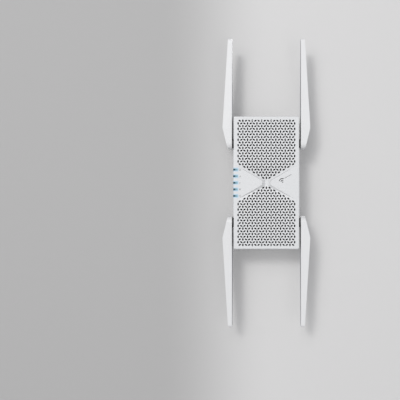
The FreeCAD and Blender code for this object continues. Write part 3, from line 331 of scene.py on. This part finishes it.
def plain(name, colour, roughness, scale=900, depth=0.02, amount=0.08, **sockets):
    """A small inner part: mottled colour, uneven gloss and a fine grain."""
    s = Shader(name, colour, roughness, **sockets)
    s.vary_colour(scale / 3, amount)
    s.vary_roughness(scale, max(0.05, roughness - 0.08), roughness + 0.08)
    s.bump(s.noise(scale, 3), depth * MM, 0.6)
    return s.material


def winding_tape():
    """Yellow polyester tape, wound in overlapping turns."""
    s = Shader("winding_tape", (0.72, 0.42, 0.03), 0.3, IOR=1.55)
    x, _, _ = s.axes()
    turns = s.math("PINGPONG", x, 1.1 * MM)
    edge = s.spread(turns, 0.0, 0.12 * MM, 1.0, 0.0)
    s.set("Base Color", s.blend(edge, (0.74, 0.44, 0.03), (0.46, 0.24, 0.01)))
    s.bump(edge, 0.05 * MM, 0.8)
    s.bump(s.noise(600, 2), 0.02 * MM, 0.4)
    return s.material


def choke_copper():
    """Enamelled copper wire, wound side by side round a ring."""
    s = Shader("choke_copper", (0.42, 0.12, 0.035), 0.28, Metallic=0.9)
    wire = s.add("ShaderNodeTexWave", {"Vector": s.coords, "Scale": 320.0, "Distortion": 0.4},
                 bands_direction="X").outputs["Fac"]
    # Painted shade and highlight: darker in the grooves between turns, lighter on their crowns.
    s.set("Base Color", s.blend(wire, (0.20, 0.05, 0.015), (0.52, 0.17, 0.05)))
    s.bump(wire, 0.15 * MM, 0.9)
    return s.material


def label_film():
    s = Shader("label_film", grey(0.62), 0.32, Metallic=0.35)
    s.vary_colour(120, 0.02)
    s.bump(s.noise(1600, 2, stretch=(1, 1, 0.2)), 0.008 * MM, 0.5)
    return s.material


def printed_ink(name, colour):
    s = Shader(name, colour, 0.55)
    s.vary_colour(3000, 0.10)
    s.vary_roughness(2500, 0.48, 0.62)
    s.bump(s.noise(5000, 2), 0.004 * MM, 0.5)
    return s.material


def paint_nodes():
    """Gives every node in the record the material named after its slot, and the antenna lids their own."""
    along_x, along_y, along_z = (0.04, 1, 1), (1, 0.04, 1), (1, 1, 0.04)
    made = {
        "shell_plastic": shell_plastic(),
        "antenna_plastic": antenna_plastic(),
        "antenna_lid": antenna_lid_plastic(),
        "button_plastic": button_plastic(),
        "plug_plastic": plug_plastic(),
        "pin_nickel": pin_nickel(),
        "light_guide_acrylic": light_guide_acrylic(),
        "led_chip": led_chip(),
        "circuit_board": circuit_board("circuit_board", (0.006, 0.022, 0.016), (0.35, 0.22, 0.08)),
        "chip_black": chip_black(),
        "tinned_steel": metal("tinned_steel", (0.52, 0.52, 0.51), 0.26, 0.42, along_z),
        "screw_steel": metal("screw_steel", (0.30, 0.29, 0.28), 0.3, 0.48, along_x),
        "spring_steel": metal("spring_steel", (0.33, 0.34, 0.36), 0.22, 0.36, along_y),
        "thermal_pad": thermal_pad(),
        "heat_sink_aluminium": black_anodised(),
        "insulator_film": plain("insulator_film", grey(0.03), 0.35),
        "ferrite": plain("ferrite", grey(0.035), 0.7, 1400, 0.05, 0.3),
        "bobbin_plastic": plain("bobbin_plastic", grey(0.03), 0.45),
        "winding_tape": winding_tape(),
        "capacitor_sleeve": plain("capacitor_sleeve", (0.012, 0.016, 0.05), 0.25, 500, 0.01),
        "choke_copper": choke_copper(),
        "suppressor_yellow": plain("suppressor_yellow", (0.60, 0.42, 0.05), 0.35),
        "fuse_brown": plain("fuse_brown", (0.07, 0.025, 0.012), 0.3),
        "gold_contact": metal("gold_contact", (0.78, 0.52, 0.18), 0.2, 0.32, along_x),
        "socket_plastic": plain("socket_plastic", grey(0.028), 0.42, 1800, 0.015),
        "lamp_lens": plain("lamp_lens", (0.28, 0.48, 0.18), 0.18, 1500, 0.008),
        "label_film": label_film(),
        "coax_jacket": plain("coax_jacket", grey(0.03), 0.4, 1500, 0.01),
        "radiator_board": circuit_board("radiator_board", (0.008, 0.03, 0.05), (0.5, 0.25, 0.1)),
    }
    for entry in frame["record"]["subparts"]:
        slots = NODES[entry["node"]].data.materials
        slots.clear()
        slots.append(made["antenna_lid" if entry["node"].endswith("_lid") else entry["material_slot"]])


# ---- printed marks ----------------------------------------------------------------------------
INK_DEPTH = 0.02               # millimetres, as is every size inside a mark
ICON_WIDTH = 0.34
ICON_GAP = 2.9 * MM            # from a lens to the middle of its icon
ICON_SIZE, BUTTON_SIGN_SIZE = 0.95, 0.85
WING_MARK_X, WING_MARK_Z = 18.6 * MM, 3.4 * MM
WING_MARK_SLANT = math.radians(30)


def arc(centre, radius, start, stop, steps=20):
    """Points on a circle from start to stop, in degrees anticlockwise from the first axis."""
    turns = [math.radians(start + (stop - start) * i / steps) for i in range(steps + 1)]
    return [(centre[0] + radius * math.cos(t), centre[1] + radius * math.sin(t)) for t in turns]


def polar(radius, angle):
    """The point at that distance from the middle, angle degrees anticlockwise."""
    turn = math.radians(angle)
    return (radius * math.cos(turn), radius * math.sin(turn))


def stroke(bm, points, width):
    """A line of ink along flat points, round-ended, standing proud of the surface behind it."""
    half = width / 2
    for a, b in zip(points, points[1:]):
        a, b = Vector((*a, 0)), Vector((*b, 0))
        angle = math.degrees(math.atan2(b.y - a.y, b.x - a.x))
        outline = arc(a, half, angle + 90, angle + 270, 8) + arc(b, half, angle - 90, angle + 90, 8)
        patch(bm, outline)


def patch(bm, outline):
    """One flat patch of ink with a thin edge."""
    top = [bm.verts.new((u, v, INK_DEPTH)) for u, v in outline]
    foot = [bm.verts.new((u, v, 0)) for u, v in outline]
    bm.faces.new(top)
    for i in range(len(top)):
        bm.faces.new((top[i - 1], foot[i - 1], foot[i], top[i]))


def printed(name, draw, origin, right, up, material, body=HOUSING, size=1.0):
    """A printed mark: draw(bm) works in millimetres on a plane, which is then laid at origin."""
    bm = bmesh.new()
    draw(bm)
    right, up = Vector(right), Vector(up)
    out = right.cross(up)
    for v in bm.verts:
        v.co = Vector(origin) + (right * v.co.x + up * v.co.y) * MM * size + out * v.co.z * MM
    mesh = bpy.data.meshes.new(name)
    bm.normal_update()
    bm.to_mesh(mesh)
    bm.free()
    obj = bpy.data.objects.new(name, mesh)
    bpy.context.scene.collection.objects.link(obj)
    mesh.materials.append(material)
    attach(obj, body)


def power_sign(bm):
    stroke(bm, arc((0, 0), 1.15, 125, 415), ICON_WIDTH)
    stroke(bm, [(0, 0.35), (0, 1.55)], ICON_WIDTH)


def bars_sign(bm):
    for i in range(3):
        stroke(bm, [(-1.0 + i, -1.1), (-1.0 + i, -0.5 + i * 0.75)], 0.42)


def waves_sign(count):
    """A dot with count arcs over it."""
    def draw(bm):
        stroke(bm, arc((0, -1.05), 0.12, 0, 360, 10), 0.3)
        for i in range(count):
            stroke(bm, arc((0, -1.05), 1.0 + i * 0.8, 45, 135, 12), ICON_WIDTH)
    return draw


def socket_sign(bm):
    corners = [(-1.1, 0.9), (1.1, 0.9), (1.1, -0.6), (0.5, -0.6), (0.5, -1.1), (-0.5, -1.1),
               (-0.5, -0.6), (-1.1, -0.6), (-1.1, 0.9)]
    stroke(bm, corners, 0.28)


def pairing_sign(bm):
    """Two arrows that chase each other round a circle."""
    for turn in (0, 180):
        stroke(bm, arc((0, 0), 1.1, turn + 20, turn + 150), ICON_WIDTH)
        patch(bm, [polar(1.1, turn + 158), polar(0.65, turn + 132), polar(1.6, turn + 136)])


def wing_mark(bm):
    """A plain signal sign, with a row of short dashes leading away from it."""
    stroke(bm, arc((0, -2.9), 0.3, 0, 360, 12), 0.8)
    for radius in (2.3, 4.5):
        stroke(bm, arc((0, -2.9), radius, 48, 132, 18), 0.85)
    for i in range(6):
        stroke(bm, [(4.8 + i * 1.65, 0.0), (5.5 + i * 1.65, 0.0)], 0.75)


def label_print(bm):
    """Grey bars and an empty box, where a real label has its print."""
    box_points = [(-21, 7), (-9, 7), (-9, -7), (-21, -7), (-21, 7)]
    stroke(bm, box_points, 0.35)
    widths = random.Random(3)
    for row in range(5):
        x = -5.5
        while x < 20:
            run = widths.uniform(2.0, 6.0)
            stroke(bm, [(x, 6.0 - row * 3.0), (min(x + run, 20.5), 6.0 - row * 3.0)], 0.75)
            x += run + 1.7


def print_marks():
    icon_ink = printed_ink("icon_ink", grey(0.29, 0.04))
    mark_ink = printed_ink("mark_ink", grey(0.17))
    label_ink = printed_ink("label_ink", grey(0.12))
    right, up = (1, 0, 0), (0, 0, 1)
    signs = {"power": power_sign, "signal": bars_sign, "waves": waves_sign(1),
             "more_waves": waves_sign(2), "socket": socket_sign}
    for i, (name, draw) in enumerate(signs.items()):
        place = (LENS_INNER_X + ICON_GAP, FRONT_Y, LED_Z[1] - i * LED_PITCH)
        printed("icon_" + name, draw, place, right, up, icon_ink, size=ICON_SIZE)
    cosine, sine = math.cos(WING_MARK_SLANT), math.sin(WING_MARK_SLANT)
    along, across = (cosine, 0, sine), (-sine, 0, cosine)
    printed("wing_mark", wing_mark, (WING_MARK_X, FRONT_Y, WING_MARK_Z), along, across, mark_ink)
    low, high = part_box("rating_label")
    middle = (low + high) / 2
    printed("label_print", label_print, (middle.x, high.y, middle.z), (-1, 0, 0), up, label_ink)
    for button, draw in (("power_button", power_sign), ("pairing_button", pairing_sign)):
        low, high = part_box(button)
        middle = (low + high) / 2
        printed(button + "_sign", draw, (high.x, middle.y, middle.z), (0, 1, 0), up, icon_ink,
                body=button, size=BUTTON_SIGN_SIZE)


# ---- stage ------------------------------------------------------------------------------------
WALL_COLOUR, FLOOR_COLOUR = grey(0.66, 0.013), grey(0.62)
WALL_SHADE = 0.66              # painted shade: how dark the wall gets to the left, and the stretch where it does
WALL_SHADE_X = (-0.14, 0.01)
WALL_GAP = 0.4 * MM            # between the case's back and the wall
STAGE_HALF, FLOOR_Z, CEILING_Z = 3.0, -1.0, 2.4

WORLD_COLOUR, WORLD_STRENGTH = (0.93, 0.95, 1.0, 1), 0.43
LIGHTS = (                     # name, place, disc diameter, watts
    ("key", (-0.78, -2.25, 1.08), 0.63, 15.2),
    ("soft", (-1.05, -2.85, 0.75), 1.95, 19.0),
    ("top", (-0.45, -2.7, 1.8), 1.5, 15.5),
    ("fill", (0.5, -2.0, -0.3), 1.4, 5.0),
    ("back", (0.6, 1.6, 0.9), 0.9, 12.0),
)


def stage_material(name, colour, roughness, is_wall):
    """Painted plaster or a studio floor; the wall's colour darkens to the left as painted shade, and it is
    clear from behind.
    """
    s = Shader(name, colour, roughness)
    mottled = s.vary_colour(1.5, 0.02)
    s.bump(s.noise(90, 4), 0.25 * MM, 0.5)
    if is_wall:
        shade = s.spread(s.axes()[0], *WALL_SHADE_X, 1.0, 0.0, smooth=True)
        s.set("Base Color", s.blend(shade, mottled, tuple(c * WALL_SHADE for c in colour)))
        back = s.add("ShaderNodeNewGeometry").outputs["Backfacing"]
        clear = s.add("ShaderNodeBsdfTransparent")
        mixer = s.add("ShaderNodeMixShader", {0: back, 1: s.surface.outputs[0], 2: clear.outputs[0]})
        output = next(n for n in s.tree.nodes if n.type == "OUTPUT_MATERIAL")
        s.put(output.inputs["Surface"], mixer.outputs[0])
    return s.material


def plane(name, corners, material):
    mesh = bpy.data.meshes.new(name)
    mesh.from_pydata(corners, [], [range(len(corners))])
    mesh.materials.append(material)
    obj = bpy.data.objects.new(name, mesh)
    bpy.context.scene.collection.objects.link(obj)
    return obj


def build_stage():
    """A one-sided wall behind the case, which takes shadows but casts none, and a floor below."""
    wall_y, wide = REAR_Y + WALL_GAP, STAGE_HALF
    wall_corners = [(-wide, wall_y, FLOOR_Z), (wide, wall_y, FLOOR_Z), (wide, wall_y, CEILING_Z),
                    (-wide, wall_y, CEILING_Z)]
    wall = plane("wall", wall_corners, stage_material("wall_paint", WALL_COLOUR, 0.85, True))
    wall.visible_shadow = False
    wall.visible_diffuse = False
    wall.visible_glossy = False
    floor_corners = [(-wide, -wide, FLOOR_Z), (wide, -wide, FLOOR_Z), (wide, wide, FLOOR_Z),
                     (-wide, wide, FLOOR_Z)]
    plane("floor", floor_corners, stage_material("floor_paint", FLOOR_COLOUR, 0.7, False))


def area_light(name, place, size, power):
    """A soft disc of light that points at the case's back, where it meets the wall."""
    light = bpy.data.lights.new(name, "AREA")
    light.shape = "DISK"
    light.size = size
    light.energy = power
    obj = bpy.data.objects.new(name, light)
    obj.location = place
    obj.rotation_euler = (Vector((0, REAR_Y, 0)) - Vector(place)).to_track_quat("-Z", "Y").to_euler()
    bpy.context.scene.collection.objects.link(obj)


def light_scene():
    world = bpy.data.worlds.new("studio")
    bpy.context.scene.world = world
    world.use_nodes = True
    background = world.node_tree.nodes["Background"]
    background.inputs["Color"].default_value = WORLD_COLOUR
    background.inputs["Strength"].default_value = WORLD_STRENGTH
    bpy.context.scene.view_settings.view_transform = "Standard"
    for name, place, size, power in LIGHTS:
        area_light(name, place, size, power)


# ---- camera -----------------------------------------------------------------------------------
FIELD_WIDTH = 491.7 * MM       # how much of the front plane the picture spans
LENS, SENSOR = 50.0, 36.0
CENTRE_RIGHT, CENTRE_UP = 0.166, 0.043   # where the case's middle is in the picture, from its centre


def place_camera():
    camera = bpy.data.cameras.new("camera")
    camera.lens = LENS
    camera.sensor_width = SENSOR
    camera.shift_x = -CENTRE_RIGHT
    camera.shift_y = -CENTRE_UP
    obj = bpy.data.objects.new("camera", camera)
    obj.location = (0, FRONT_Y - FIELD_WIDTH * LENS / SENSOR, 0)
    obj.rotation_euler = (math.radians(90), 0, 0)
    bpy.context.scene.collection.objects.link(obj)
    bpy.context.scene.camera = obj


paint_nodes()
print_marks()
build_stage()
light_scene()
place_camera()
